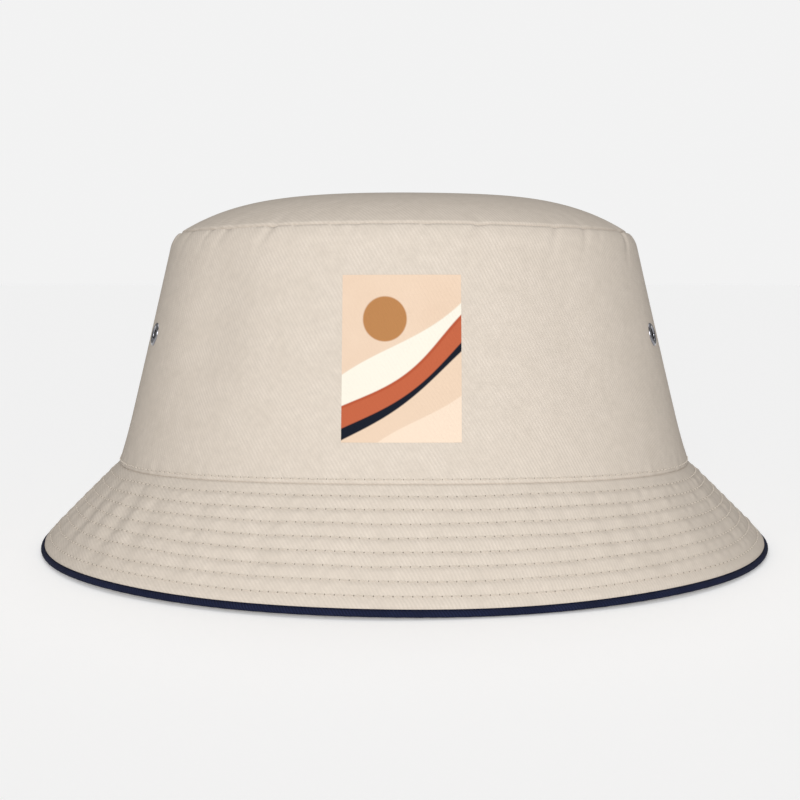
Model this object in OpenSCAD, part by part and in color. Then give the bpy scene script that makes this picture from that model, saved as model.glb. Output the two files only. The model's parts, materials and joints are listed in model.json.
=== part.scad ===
// Bucket hat: a twill crown and a quilted brim, piped at the edge, with paired vent eyelets.
// Millimetres. The brim's edge stands on z = 0, +Z is up and the front of the hat faces -Y.
// Every cloth piece is a ply: a strip that lies at a stated depth under an outer line of the hat.

/* [Head] */
// Head size, measured round the inside of the sweatband
head_circumference = 580; // [540:5:620]

/* [Crown] */
// Height of the side panels, from the brim seam to the shoulder where they begin to round over
side_h = 71.8; // [62:0.2:82]
// Lean of the side panels from the vertical
side_lean = 13.6; // [8:0.1:16]
// Extra flare at the foot of the side panels
foot_flare = 0.7; // [0:0.1:2]
// Drop from the middle of the tip to its seam
tip_rise = 12.7; // [8:0.1:18]

/* [Brim] */
// Width of the brim along its slope, without the piping
brim_w = 35.6; // [30:0.2:48]
// Slope of the brim below the horizontal
brim_slope = 46; // [35:0.5:55]
// Distance from the brim seam to the first row
first_row = 3.2; // [2:0.1:6]
// How far the piping shows beyond the brim
piping_show = 1.9; // [1.5:0.1:4]

/* [Cloth] */
// Thickness of one ply of twill
twill_t = 0.8; // [0.5:0.05:1]
// Thickness of the stiffening inside the brim
stiffening_t = 0.6; // [0.4:0.05:0.8]
// Thickness of the seam tape
tape_t = 0.5; // [0.3:0.05:0.6]
// Radius of the sewing thread
thread_r = 0.22; // [0.15:0.01:0.25]

/* [Sweatband] */
// Height of the sweatband
band_h = 32; // [25:1:38]
// Thickness of the folded sweatband
band_t = 2; // [1.6:0.1:2.4]

/* [Eyelets] */
// Bore of each eyelet
eyelet_bore_d = 4.2; // [3:0.1:5]
// Diameter of the eyelet's flange
eyelet_flange_d = 7.6; // [7:0.1:9]
// Height of the eyelets above the brim seam
eyelet_rise = 43.5; // [36:0.1:52]
// Angle from the side seam to each eyelet
eyelet_angle = 21; // [12:1:30]

/* [Print and labels] */
// Width of the printed panel
print_w = 33.5; // [25:0.5:60]
// Height of the printed panel, measured upright
print_h = 49.5; // [30:0.5:52]
// Middle of the printed panel above the brim seam
print_rise = 37; // [30:0.1:40]
// Size label, width and length
size_label = [20, 14]; // [8:1:24]
// Care label, width and length
care_label = [22, 30]; // [8:1:32]

/* [Hidden] */

ply_gap = 0.05;       // air left between plies that are sewn face to face
allowance = 9;        // seam allowance turned inside the hat
tip_power = 3.8;      // how flat the tip stays before it falls away to its seam
foot_h = 16;          // height over which the foot of the side panels flares
shoulder_r = 8;       // radius of the rounded shoulder
shoulder_turn = 42;   // angle that the shoulder rounds through
curve_steps = 12;     // straight steps along each curved stretch of an outline
topstitch_rise = 1.5; // crown topstitch above the brim seam
brim_rows = 8;        // rows of quilting on the brim
last_row = 3.5;       // distance from the last row to the edge of the brim
rest_cut = 0.13;      // how much of the piping's roll is pressed flat where it stands
foot_cut = 3;         // reach of the cut that ends the side panels along the brim's slope
panel_top = 0.98;     // share of the shoulder that the side panels cover, short of the tip's seam
skirt_h = 2;          // straight part of the tip's turned-down edge
stiffening_in = 1.2;  // inner edge of the brim's stiffening, from the brim seam
piping_air = 0.5;     // air between the stiffening and the piping's tail
tape_w = 10;          // width of the side seam tapes
top_tape_h = 3;       // straight part of the tip seam's tape, below the shoulder
top_tape_share = 0.7; // share of the shoulder that the tip seam's tape covers
band_foot = 1;        // bottom edge of the sweatband above the brim seam
band_ply = 0.65;      // one ply of the folded sweatband
band_hem = 1.4;       // folded edges of the sweatband beyond the pocket for its stiffening
band_ease = 0.1;      // room round the stiffening inside that pocket
film_t = 0.15;        // thickness of the print's film
label_t = 0.5;        // thickness of the labels' ribbon
label_over = 0.6;     // stitch line of the labels above the sweatband
label_air = 0.4;      // air between the labels and the sweatband
eyelet_wall = 0.35;   // wall of the eyelets' barrel
flange_flatness = 0.6; // height of the flange's roll over half its width
eyelet_curl = 0.9;    // width of the barrel's curled end
curl_t = 0.4;         // thickness of that curled end
washer_t = 0.4;       // thickness of the washers
washer_air = 0.16;    // air between the twill and the washers
thread_fn = 24;       // facets of a thread
$fn = 96;

// Depths under the crown's outer face, from the outside in.
brim_upper_depth = twill_t + ply_gap;
brim_lower_depth = brim_upper_depth + twill_t + ply_gap;
band_depth = brim_lower_depth + twill_t + ply_gap;
crown_wall = band_depth + band_t;
band_top = band_foot + band_h;

// Depths under the brim's outer face.
stiffening_depth = twill_t + ply_gap;
underside_depth = stiffening_depth + stiffening_t + ply_gap;
brim_t = underside_depth + twill_t;
row_pitch = (brim_w - first_row - last_row) / (brim_rows - 1);
brim_out = [cos(brim_slope), -sin(brim_slope)];
brim_up = [sin(brim_slope), cos(brim_slope)];
roll_r = piping_show / 2;
roll_along = brim_w + ply_gap + roll_r;

// The roll of the piping stands on the ground, which sets the height of the brim seam.
brim_drop = ply_gap - roll_along * brim_out.y + brim_t / 2 * brim_up.y + roll_r - rest_cut;
base_r = head_circumference / (2 * PI) + crown_wall;
shoulder_z = brim_drop + side_h;
top_r = base_r - foot_flare - side_h * tan(side_lean);

eyelet_z = brim_drop + eyelet_rise;
eyelet_barrel_r = eyelet_bore_d / 2 + eyelet_wall;
eyelet_places = [
    ["front_left", 180 + eyelet_angle], ["front_right", -eyelet_angle],
    ["back_left", 180 - eyelet_angle], ["back_right", eyelet_angle],
];

// ---------------------------------------------------------------- outlines

// Outer radius of the side panels at a height between the brim seam and the shoulder.
function side_r(z) =
    top_r + (shoulder_z - z) * tan(side_lean)
    + foot_flare * pow(max(0, 1 - (z - brim_drop) / foot_h), 2);

// Outer line of the side panels, from one height up to another.
function side_line(from, to) =
    [for (i = [0 : curve_steps]) let (z = from + (to - from) * i / curve_steps) [side_r(z), z]];

// Outer line of the rounded shoulder, up to the tip's seam; a share below 1 stops short of it.
function shoulder_line(share = 1) =
    let (c = [top_r - shoulder_r * cos(side_lean), shoulder_z - shoulder_r * sin(side_lean)])
    [for (i = [1 : curve_steps])
        let (a = side_lean + shoulder_turn * share * i / curve_steps)
        c + shoulder_r * [cos(a), sin(a)]];

top_seam = shoulder_line()[curve_steps - 1];

// Outer line of the tip, from its middle to its seam.
function tip_line() =
    [for (i = [0 : 2 * curve_steps])
        let (share = i / (2 * curve_steps))
        [top_seam.x * share, top_seam.y + tip_rise * (1 - pow(share, tip_power))]];

// A point on the brim's outer face, by its distance from the brim seam.
function brim_point(along) = [base_r, brim_drop - ply_gap] + along * brim_out;

// The way into the cloth at one point of a line whose outside is on its right as it climbs.
function inward(line, i) =
    let (a = line[max(i - 1, 0)], b = line[min(i + 1, len(line) - 1)], d = (b - a) / norm(b - a))
    [-d.y, d.x];

// The same line, moved into the cloth by a depth.
function sunk(line, depth) =
    [for (i = [0 : len(line) - 1]) let (p = line[i] + depth * inward(line, i)) [max(0, p.x), p.y]];

function reversed(line) = [for (i = [len(line) - 1 : -1 : 0]) line[i]];

// Where the line through p along d meets the line through q along e.
function meet(p, d, q, e) =
    let (gap = q - p)
    p + d * (gap.x * e.y - gap.y * e.x) / (d.x * e.y - d.y * e.x);

// Where a depth under the brim's outer face meets a depth under the foot of the side panels.
function bend(brim_depth, side_depth) =
    let (foot = sunk(side_line(brim_drop, brim_drop + 2), side_depth))
    meet(brim_point(0) - brim_depth * brim_up, brim_out, foot[0], foot[curve_steps] - foot[0]);

// ---------------------------------------------------------------- shared shapes

// Section of one ply that lies under an outer line, from a depth and as thick as t.
module ply(line, depth, t) {
    polygon(concat(sunk(line, depth), reversed(sunk(line, depth + t))));
}

// Section of one ply of the brim, between two distances from the brim seam.
module brim_ply(from, to, depth, t) {
    a = brim_point(from) - depth * brim_up;
    b = brim_point(to) - depth * brim_up;
    polygon([a, b, b - t * brim_up, a - t * brim_up]);
}

// Half of a turned piece: the front half or the back half, meeting at the side seams.
module half(front) {
    rotate([0, 0, front ? 180 : 0]) rotate_extrude(angle = 180) children();
}

// A short stretch of a turned piece, centred on an angle.
module stretch(at, wide) {
    rotate([0, 0, at - wide / 2]) rotate_extrude(angle = wide) children();
}

// A frame on the crown's outer face at an eyelet, with +Z straight out of the cloth.
module on_crown(at) {
    rotate([0, 0, at]) translate([side_r(eyelet_z), 0, eyelet_z]) rotate([0, 90 - side_lean, 0]) children();
}

// Holes for the two eyelets of one half of the crown.
module eyelet_holes() {
    for (place = eyelet_places) {
        on_crown(place[1]) cylinder(h = 6 * twill_t, r = eyelet_barrel_r + ply_gap, center = true);
    }
}

// ---------------------------------------------------------------- crown

module crown_tip() {
    under = sunk(reversed(tip_line()), twill_t);
    // The edge is turned down inside the side panels as the tip's seam allowance.
    skirt = concat(side_line(shoulder_z - skirt_h, shoulder_z), shoulder_line());
    color("wheat") rotate_extrude() polygon(concat(
        tip_line(), reversed(sunk(skirt, brim_upper_depth)), sunk(skirt, brim_upper_depth + twill_t),
        [for (i = [2 : len(under) - 1]) under[i]]
    ));
}

function topstitch_at() = [side_r(brim_drop + topstitch_rise), brim_drop + topstitch_rise];

module crown_side(front) {
    color("wheat") difference() {
        half(front) difference() {
            ply(concat(side_line(brim_drop - twill_t, shoulder_z), shoulder_line(panel_top)), 0, twill_t);
            // The foot is folded under along the brim's slope.
            brim_ply(-foot_cut, foot_cut, -ply_gap, foot_cut);
        }
        eyelet_holes();
        // A shallow seat in which the topstitching thread lies.
        rotate_extrude() translate(topstitch_at()) circle(r = thread_r + ply_gap, $fn = thread_fn);
    }
}

// ---------------------------------------------------------------- brim

module row_seats(depth) {
    for (row = [1 : brim_rows]) {
        rotate_extrude() translate(row_at(row, depth)) circle(r = thread_r + ply_gap, $fn = thread_fn);
    }
}

function row_at(row, depth) = brim_point(first_row + (row - 1) * row_pitch) - depth * brim_up;

// Each ply turns up at the brim seam and runs up inside the crown as its seam allowance.
module brim_cover(front, turn_up_depth, depth, seat_depth) {
    turn_up = side_line(brim_drop + 1.5, brim_drop + allowance);
    edge = brim_point(brim_w);
    color("wheat") difference() {
        half(front) polygon(concat(
            [edge - depth * brim_up, bend(depth, turn_up_depth)],
            sunk(turn_up, turn_up_depth), reversed(sunk(turn_up, turn_up_depth + twill_t)),
            [bend(depth + twill_t, turn_up_depth + twill_t), edge - (depth + twill_t) * brim_up]
        ));
        row_seats(seat_depth);
    }
}

module brim_upper(front) {
    brim_cover(front, brim_upper_depth, 0, 0);
}

module brim_lower(front) {
    brim_cover(front, brim_lower_depth, underside_depth, brim_t);
}

module brim_stiffening() {
    color("white") rotate_extrude()
        brim_ply(stiffening_in, brim_w - allowance - piping_air, stiffening_depth, stiffening_t);
}

// A folded strip: its tail is sewn between the brim's plies and its rolled edge shows.
module brim_piping() {
    roll_at = brim_point(roll_along) - brim_t / 2 * brim_up;
    // Angle, seen from the middle of the roll, at which the tail joins it.
    join = 180 - asin(stiffening_t / 2 / roll_r);
    color("midnightblue") difference() {
        rotate_extrude() polygon(concat(
            [for (side = [-1, 1]) roll_at - allowance * brim_out + side * stiffening_t / 2 * brim_up],
            [for (i = [0 : 4 * curve_steps])
                let (a = join * (1 - i / (2 * curve_steps)))
                roll_at + roll_r * (cos(a) * brim_out + sin(a) * brim_up)]
        ));
        // The edge rests flat on the ground.
        translate([0, 0, -2 * roll_r]) cylinder(h = 2 * roll_r, r = 2 * base_r);
    }
}

module brim_stitch_row(row) {
    color("wheat") {
        rotate_extrude() translate(row_at(row, 0)) circle(r = thread_r, $fn = thread_fn);
        rotate_extrude() translate(row_at(row, brim_t)) circle(r = thread_r, $fn = thread_fn);
    }
}

module crown_topstitch() {
    color("wheat") rotate_extrude() translate(topstitch_at()) circle(r = thread_r, $fn = thread_fn);
}

// ---------------------------------------------------------------- inside the crown

// Outer line of the sweatband, drawn in from both of its edges by a hem.
function band_line(hem) = side_line(brim_drop + band_foot + hem, brim_drop + band_top - hem);

module sweatband() {
    color("midnightblue") difference() {
        rotate_extrude() difference() {
            ply(band_line(0), band_depth, band_t);
            ply(band_line(band_hem), band_depth + band_ply, band_t - 2 * band_ply);
        }
        rotate_extrude() translate(band_stitch_at()) circle(r = thread_r + ply_gap, $fn = thread_fn);
    }
}

module sweatband_stiffening() {
    pocket_depth = band_depth + band_ply;
    color("white") rotate_extrude()
        ply(band_line(band_hem + band_ease), pocket_depth + ply_gap, band_t - 2 * (band_ply + ply_gap));
}

function band_stitch_at() = sunk(band_line(band_foot), crown_wall)[0];

module sweatband_stitch() {
    color("midnightblue") rotate_extrude()
        translate(band_stitch_at()) circle(r = thread_r, $fn = thread_fn);
}

module top_seam_tape() {
    line = concat(side_line(shoulder_z - top_tape_h, shoulder_z), shoulder_line(top_tape_share));
    color("midnightblue") rotate_extrude() ply(line, brim_lower_depth, tape_t);
}

module side_seam_tape(at) {
    line = side_line(brim_drop + allowance + twill_t, shoulder_z - top_tape_h + tape_t);
    color("midnightblue") stretch(at, tape_w) ply(line, brim_upper_depth, tape_t);
}

// ---------------------------------------------------------------- eyelets

washer_depth = twill_t + washer_air;
barrel_end = washer_depth + washer_t + ply_gap;

// A rolled flange outside the cloth, a barrel through it and a curled end behind the washer.
module eyelet(at) {
    bore_r = eyelet_bore_d / 2;
    flange_r = eyelet_flange_d / 2;
    dome_r = (flange_r - bore_r) / 2;
    color("silver") on_crown(at) rotate_extrude() {
        difference() {
            translate([bore_r + dome_r, 0]) scale([1, flange_flatness]) circle(r = dome_r);
            translate([0, -2 * dome_r]) square([2 * flange_r, 2 * dome_r]);
        }
        translate([bore_r, -barrel_end - curl_t]) {
            square([eyelet_wall, barrel_end + curl_t + ply_gap]);
            square([eyelet_curl, curl_t]);
        }
    }
}

module washer(at) {
    color("silver") on_crown(at) translate([0, 0, -washer_depth - washer_t]) difference() {
        cylinder(h = washer_t, r = eyelet_flange_d / 2);
        cylinder(h = 3 * washer_t, r = eyelet_barrel_r + ply_gap, center = true);
    }
}

// ---------------------------------------------------------------- print and labels

module print_panel() {
    print_z = brim_drop + print_rise;
    line = side_line(print_z - print_h / 2, print_z + print_h / 2);
    color("peachpuff") intersection() {
        half(true) ply(line, -ply_gap - film_t, film_t);
        translate([-print_w / 2, -2 * base_r, 0]) cube([print_w, 2 * base_r, shoulder_z]);
    }
}

// A flap of ribbon that hangs from a stitch line along its top edge, over the sweatband.
label_top_z = brim_drop + band_top + label_over;

function label_r(size) =
    let (band_r = side_r(brim_drop + band_top) - crown_wall / cos(side_lean))
    sqrt(pow(band_r, 2) - pow(size.x / 2, 2)) - label_air - label_t / 2;

module label(size, at) {
    color("white") rotate([0, 0, at])
        translate([label_r(size) - label_t / 2, -size.x / 2, label_top_z - size.y])
            cube([label_t, size.x, size.y]);
}

// ---------------------------------------------------------------- the hat

crown_tip();
crown_side(true);  // crown_side_front
crown_side(false);  // crown_side_back
brim_upper(true);  // brim_upper_front
brim_upper(false);  // brim_upper_back
brim_lower(true);  // brim_lower_front
brim_lower(false);  // brim_lower_back
brim_stiffening();
brim_piping();
sweatband();
sweatband_stiffening();
top_seam_tape();
side_seam_tape(180);  // side_seam_tape_left
side_seam_tape(0);  // side_seam_tape_right
for (place = eyelet_places) {
    eyelet(place[1]);
    washer(place[1]);
}
for (row = [1 : brim_rows]) {
    brim_stitch_row(row);
}
crown_topstitch();
sweatband_stitch();
print_panel();
label(size_label, 90);
label(care_label, 180);
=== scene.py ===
# %% [markdown]
# # A bucket hat, cut and sewn
#
# A bucket hat is flat cloth, cut to a pattern and sewn into a round shape. This lesson makes it the
# same way. Each piece of cloth starts as a flat grid, which is the cut. The grid is then laid on the
# hat's outline, dented and puckered as sewing does it, and given its thickness. A cloth simulation
# could do this too, but a stiffened and sewn hat keeps its cut shape, and rules are easier to steer.
#
# The CAD model is loaded first. It is the fixed frame: it says where every piece is.

# %% Load the frame
import json
import math
import random

import bpy
import numpy as np
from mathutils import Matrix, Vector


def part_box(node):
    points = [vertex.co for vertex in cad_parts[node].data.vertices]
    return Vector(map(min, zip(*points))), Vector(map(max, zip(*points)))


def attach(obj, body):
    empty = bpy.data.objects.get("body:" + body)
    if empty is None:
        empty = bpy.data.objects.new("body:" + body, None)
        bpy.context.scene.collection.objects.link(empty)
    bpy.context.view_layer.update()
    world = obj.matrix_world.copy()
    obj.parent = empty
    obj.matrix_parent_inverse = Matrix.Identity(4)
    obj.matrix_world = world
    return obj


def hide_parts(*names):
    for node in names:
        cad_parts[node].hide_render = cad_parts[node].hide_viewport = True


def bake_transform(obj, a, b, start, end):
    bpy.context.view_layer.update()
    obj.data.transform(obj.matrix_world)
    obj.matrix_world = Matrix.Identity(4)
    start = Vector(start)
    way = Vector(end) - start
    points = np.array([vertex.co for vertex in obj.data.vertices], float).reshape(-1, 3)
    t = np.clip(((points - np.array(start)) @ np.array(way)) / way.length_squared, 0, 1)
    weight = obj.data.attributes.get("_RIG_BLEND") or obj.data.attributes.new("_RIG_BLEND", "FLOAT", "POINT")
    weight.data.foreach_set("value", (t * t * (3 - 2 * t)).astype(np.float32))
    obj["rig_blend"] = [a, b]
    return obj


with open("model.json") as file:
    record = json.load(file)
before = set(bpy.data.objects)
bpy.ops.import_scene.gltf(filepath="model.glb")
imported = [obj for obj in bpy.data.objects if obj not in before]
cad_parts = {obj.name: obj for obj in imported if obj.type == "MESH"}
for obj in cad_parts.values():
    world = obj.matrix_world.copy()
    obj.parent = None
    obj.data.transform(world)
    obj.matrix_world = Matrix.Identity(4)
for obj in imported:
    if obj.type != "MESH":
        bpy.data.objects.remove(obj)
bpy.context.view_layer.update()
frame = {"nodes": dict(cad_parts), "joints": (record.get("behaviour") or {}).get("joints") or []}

# %% [markdown]
# ## The sizes that shape the hat
#
# Sizes are in millimetres and angles in radians. The brim seam's radius and height are read from the
# frame, and the others are the pattern's own sizes. The tip's rise is what is then left up to the
# frame's highest point, so it shows how well the two agree: the pattern says 12.7.

# %% Sizes of the pattern
MM = 0.001
PLY = 0.8
AIR = 0.05
ALLOWANCE = 9.0

foot, crown_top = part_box("crown_side_front")
SEAM_R = round(crown_top.x / MM, 2)
SEAM_Z = round(foot.z / MM, 2)

SIDE_RISE = 71.8
LEAN = math.radians(13.6)
FLARE, FLARE_RISE = 0.7, 16.0
SHOULDER_R, SHOULDER_TURN = 8.0, math.radians(42)
SHOULDER_Z = SEAM_Z + SIDE_RISE
TOP_R = SEAM_R - FLARE - SIDE_RISE * math.tan(LEAN)
WALL_LENGTH = SIDE_RISE / math.cos(LEAN)
SIDE_LENGTH = WALL_LENGTH + SHOULDER_R * SHOULDER_TURN
TIP_R = TOP_R - SHOULDER_R * (math.cos(LEAN) - math.cos(LEAN + SHOULDER_TURN))
TIP_Z = SHOULDER_Z + SHOULDER_R * (math.sin(LEAN + SHOULDER_TURN) - math.sin(LEAN))
TIP_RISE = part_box("crown_tip")[1].z / MM - TIP_Z
TIP_POWER = 3.8

SLOPE = math.radians(46)
BRIM_W, BRIM_T = 35.6, 2.3
ROWS, FIRST_ROW, LAST_ROW = 8, 3.2, 3.5
ROW_PITCH = (BRIM_W - FIRST_ROW - LAST_ROW) / (ROWS - 1)
ROLL_R = 0.95
BAND_H, BAND_T, BAND_DEPTH = 32.0, 2.0, 2.55
print(f"brim seam: radius {SEAM_R}, height {SEAM_Z}; tip seam: radius {TIP_R:.1f}, height {TIP_Z:.1f}")
print(f"the tip rises {TIP_RISE:.2f} mm over its seam")

# %% [markdown]
# ## Ripples
#
# Sewn cloth is never smooth. A few waves of different counts, each with its own start, add up to an
# uneven ripple that still closes on itself round the hat. A seeded start gives the same hat each time.
# Where thread pulls the cloth in, only the inward half of such a ripple is wanted: a pinch.


# %% Ripples and pinches round the hat
def ripples(turn, seed, counts, size):
    rng = random.Random(seed)
    total = sum(
        rng.uniform(0.6, 1.0) * np.cos(count * turn + rng.uniform(0, 2 * math.pi))
        for count in counts
    )
    return size * total / math.sqrt(len(counts))


def pinches(turn, seed, counts, size):
    return size * np.clip(ripples(turn, seed, counts, 1.0) - 0.25, 0, None) ** 1.3


def ease(share):
    share = np.clip(share, 0, 1)
    return share * share * (3 - 2 * share)


def bump_at(value, centre, width):
    return np.exp(-(((value - centre) / width) ** 2))


def turn_gap(turn, centre):
    """How far an angle is from another one, the short way round."""
    return (turn - centre + math.pi) % (2 * math.pi) - math.pi


print("a ripple at the front:", round(float(ripples(np.array(-math.pi / 2), 3, (2, 3, 5), 1.0)), 3))

# %% [markdown]
# ## The outline of the crown
#
# A point of the side panels is given by its turn round the hat and by how far up the cloth it lies
# from the brim seam. The panel leans, flares a little at its foot and rounds over at the shoulder.
# Being soft, it also drapes: the wall hangs in broad shallow waves, the thread of the tip seam pinches
# it, and it lies flat round each metal eyelet.

# %% Side panels
STITCH = 2.7
TOPSTITCH_UP = 1.6


def stitches_in(radius):
    return round(2 * math.pi * radius / STITCH)


EYELET_RISE = 43.5
EYELET_TURNS = [math.radians(angle) for angle in (21, -21, 159, -159)]
EYELET_UP = EYELET_RISE / math.cos(LEAN)
# EYELET_R and WALL_R turn an angle into a distance along the wall, at the eyelets and at its mean.
# The cloth lies flat within about FLAT_R of an eyelet. The brim seam's rise fades out LIFT_UP up the
# cloth, and the tip seam's begins there.
EYELET_R, FLAT_R = 86.0, 11.0
WALL_R = 88.0
LIFT_UP = 45.0
FRONT, BACK = -math.pi / 2, math.pi / 2
TIP_COUNTS = (23, 37, 53, 71)


def side_line(up):
    """Radius, height and outward normal of the side panels' outline."""
    z = SEAM_Z + np.minimum(up, WALL_LENGTH) * math.cos(LEAN)
    flare = FLARE * np.clip(1 - (z - SEAM_Z) / FLARE_RISE, 0, None) ** 2
    r = TOP_R + (SHOULDER_Z - z) * math.tan(LEAN) + flare
    angle = LEAN + np.clip(up - WALL_LENGTH, 0, None) / SHOULDER_R
    r = r + SHOULDER_R * (np.cos(angle) - math.cos(LEAN))
    z = z + SHOULDER_R * (np.sin(angle) - math.sin(LEAN))
    return r, z, np.cos(angle), np.sin(angle)


# Soft vertical folds, where the standing hat slackens: the turn, half width and depth of each.
SOFT_FOLDS = ((-2.3, 0.15, 1.5), (-0.98, 0.14, 0.7), (2.1, 0.15, 1.0), (0.8, 0.12, 0.7))


def side_wave(turn, up, seams=1.0):
    """How far the cloth stands out; seams is 0 for what lies inside, clear of the side seams."""
    share = up / SIDE_LENGTH
    free = np.sin(math.pi * np.clip(share, 0, 1))
    wave = ripples(turn, 3, (2, 3, 5), 0.4) * free
    for place, width, depth in SOFT_FOLDS:
        wave = wave - depth * bump_at(turn_gap(turn, place), 0, width) * bump_at(share, 0.62, 0.28)
    near_eyelet = sum(
        bump_at(turn_gap(turn, place) * EYELET_R, 0, FLAT_R) * bump_at(up, EYELET_UP, FLAT_R)
        for place in EYELET_TURNS
    )
    wave = wave * (1 - np.clip(near_eyelet, 0, 1))
    to_top = SIDE_LENGTH - up
    slant = turn + 0.006 * to_top
    wave = wave - pinches(slant, 11, TIP_COUNTS, 0.6) * np.exp(-((to_top / 7) ** 1.5))
    wave = wave + 0.1 * bump_at(to_top, 1.6, 1.1)
    wave = wave + ripples(turn, 9, (61, 83, 107), 0.12) * np.exp(-((up / 4) ** 2))
    # The panels' edges roll in at the side seams, the brim seam and the tip seam.
    for place in (0.0, math.pi):
        off = np.abs(turn_gap(turn, place)) * WALL_R
        rolled = 0.3 * bump_at(off, 2.6, 1.6) * (share < 1) - 0.75 * bump_at(off, 0, 0.7)
        wave = wave + seams * rolled
    wave = wave - 0.9 * np.clip(1 - up / 0.9, 0, 1) ** 2
    wave = wave - bump_at(up, TOPSTITCH_UP, 0.5) * (0.1 + 0.1 * np.cos(stitches_in(SEAM_R) * turn))
    return wave - 0.8 * np.clip(1 - to_top / 0.9, 0, 1) ** 2


def saddle(turn):
    """1 at the front and back, -1 at the sides, where a worn-in hat sits differently."""
    return -np.cos(2 * turn)


def seam_lift(turn):
    """How far the brim seam rises at a turn."""
    return 2.3 + 2.3 * saddle(turn)


def top_lift(turn):
    """How far the tip's seam rises at a turn."""
    return 0.5 + 0.5 * saddle(turn)


def round_place(turn, r, z):
    return np.stack([r * np.cos(turn), r * np.sin(turn), z], axis=-1) * MM


def side_at(turn, up, depth=0.0):
    """A point at a depth under the crown's outer face."""
    r, z, out_r, out_z = side_line(up)
    outside_band = np.where(np.asarray(depth) < BAND_DEPTH - 0.5, 1.0, 0.0)
    out = side_wave(turn, up, outside_band) - depth
    lift = seam_lift(turn) * (1 - ease(up / LIFT_UP))
    lift = lift + top_lift(turn) * ease((up - LIFT_UP) / (SIDE_LENGTH - LIFT_UP))
    return round_place(turn, r + out_r * out, z + out_z * out + lift)


print(f"from the brim seam to the tip seam the cloth is {SIDE_LENGTH:.1f} mm long")


# %% [markdown]
# ## The tip
#
# The tip is a disc. It stays nearly flat in the middle and falls away to its seam, where the same
# thread pinches it. Beyond the seam its edge turns down inside the side panels.


# %% Tip
def tip_at(turn, share, depth=0.0):
    slope = TIP_POWER * TIP_RISE / TIP_R * share ** (TIP_POWER - 1)
    out_r, out_z = slope / np.hypot(slope, 1), 1 / np.hypot(slope, 1)
    to_seam = (1 - share) * TIP_R
    sag = 0.5 * (1 - share**2) * (share * np.cos(2 * turn + 0.6) + 0.5 * share * np.cos(3 * turn))
    wave = sag - pinches(turn, 11, TIP_COUNTS, 0.4) * np.exp(-to_seam / 5)
    wave = wave - 0.8 * np.clip(1 - to_seam / 0.9, 0, 1) ** 2 - depth
    z = TIP_Z + TIP_RISE * (1 - share**TIP_POWER) + top_lift(turn) * share**TIP_POWER
    return round_place(turn, TIP_R * share + out_r * wave, z + out_z * wave)


print("the middle of the tip:", (tip_at(0.0, 0.0) / MM).round(1), "mm")


# %% [markdown]
# ## The brim
#
# Two plies of twill, with a stiff layer between them, are sewn through in rows. Each row pulls the
# plies together, and the cloth between two rows stands a little proud and puckers along the thread.
# The brim seam rises at the front and back, as on a hat that has been worn, so the brim is steeper
# there and flatter at the sides. Its slope is worked out at each turn so that the edge stands on the
# ground, or just above it where the edge lifts and dips.

# %% Brim
ROLL_ALONG = BRIM_W + 0.1 + ROLL_R
GROUND_LIFT = 0.1


def row_along(row):
    return FIRST_ROW + row * ROW_PITCH


def row_count(row):
    return stitches_in(SEAM_R + row_along(row) * math.cos(SLOPE))


def row_place(turn, row):
    """Each row wanders a little, as a hand-guided seam does."""
    return row_along(row) + ripples(turn, 70 + row, (5, 9, 14), 0.16)


def quilt(turn, along):
    """How far the cloth stands out of the brim's face."""
    height = 0
    # The quilting is flatter at the front left, where the brim is pulled.
    fullness = 1.0 - 0.45 * bump_at(turn_gap(turn, -2.75), 0, 0.55)
    for row in range(ROWS):
        at = row_place(turn, row)
        holes = 0.5 + 0.5 * np.cos(row_count(row) * turn)
        height = height - bump_at(along, at, 0.6) * (0.12 + 0.1 * holes) * fullness
        if row < ROWS - 1:
            between = np.clip((along - at) / ROW_PITCH, 0, 1)
            # Each puff is fullest just below its row, where the cloth is eased over the step.
            puff = np.sin(math.pi * between**0.7) ** 2
            lump = ripples(turn + 0.012 * between, 20 + row, (43, 67, 97, 131), 0.13)
            height = height + puff * (0.25 + lump) * fullness
    return height - 0.5 * np.clip((along - BRIM_W + 1.2) / 1.2, 0, 1) ** 2


def brim_slope(turn):
    """The slope that sets the piping on the ground, or just above it where the edge undulates."""
    wave = np.clip(0.35 + ripples(turn, 31, (3, 5, 8), 0.35), 0, None)
    edge_z = ROLL_R + BRIM_T / 2 * math.cos(SLOPE) + GROUND_LIFT + wave
    return np.arcsin((SEAM_Z + seam_lift(turn) - edge_z) / ROLL_ALONG)


def brim_wave(turn, share):
    left_side = 0.35 + 0.65 * bump_at(turn_gap(turn, -2.7), 0, 0.6)
    folds = ripples(turn, 37, (11, 17, 23), 0.25) + ripples(turn, 41, (37, 47, 59), 0.38) * left_side
    return folds * np.sin(math.pi * np.clip(share, 0, 1)) ** 1.2


def brim_at(turn, along, depth=0.0, puff=1.0):
    """A point of the brim; puff is 1 on the upper face, -1 on the lower one and 0 between them."""
    out = brim_wave(turn, along / BRIM_W) + puff * quilt(turn, along) - depth
    slope = brim_slope(turn)
    r = SEAM_R + along * np.cos(slope) + out * np.sin(slope)
    z = SEAM_Z + seam_lift(turn) - along * np.sin(slope) + out * np.cos(slope)
    return round_place(turn, r, z)


turns = np.linspace(0, 2 * math.pi, 721)
slopes = np.degrees(brim_slope(turns))
print(f"the brim slopes {slopes.min():.1f} to {slopes.max():.1f} degrees")

# %% [markdown]
# ## Cutting and laying cloth
#
# A grid is added flat, one square for each small patch of cloth. Its own coordinates say how far
# across and along the cut each corner is, and a placing rule then lays it on the hat. The UV map keeps
# each corner's place in the flat pattern, in metres, so that the weave runs straight along the cloth
# and has its real size.


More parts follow.
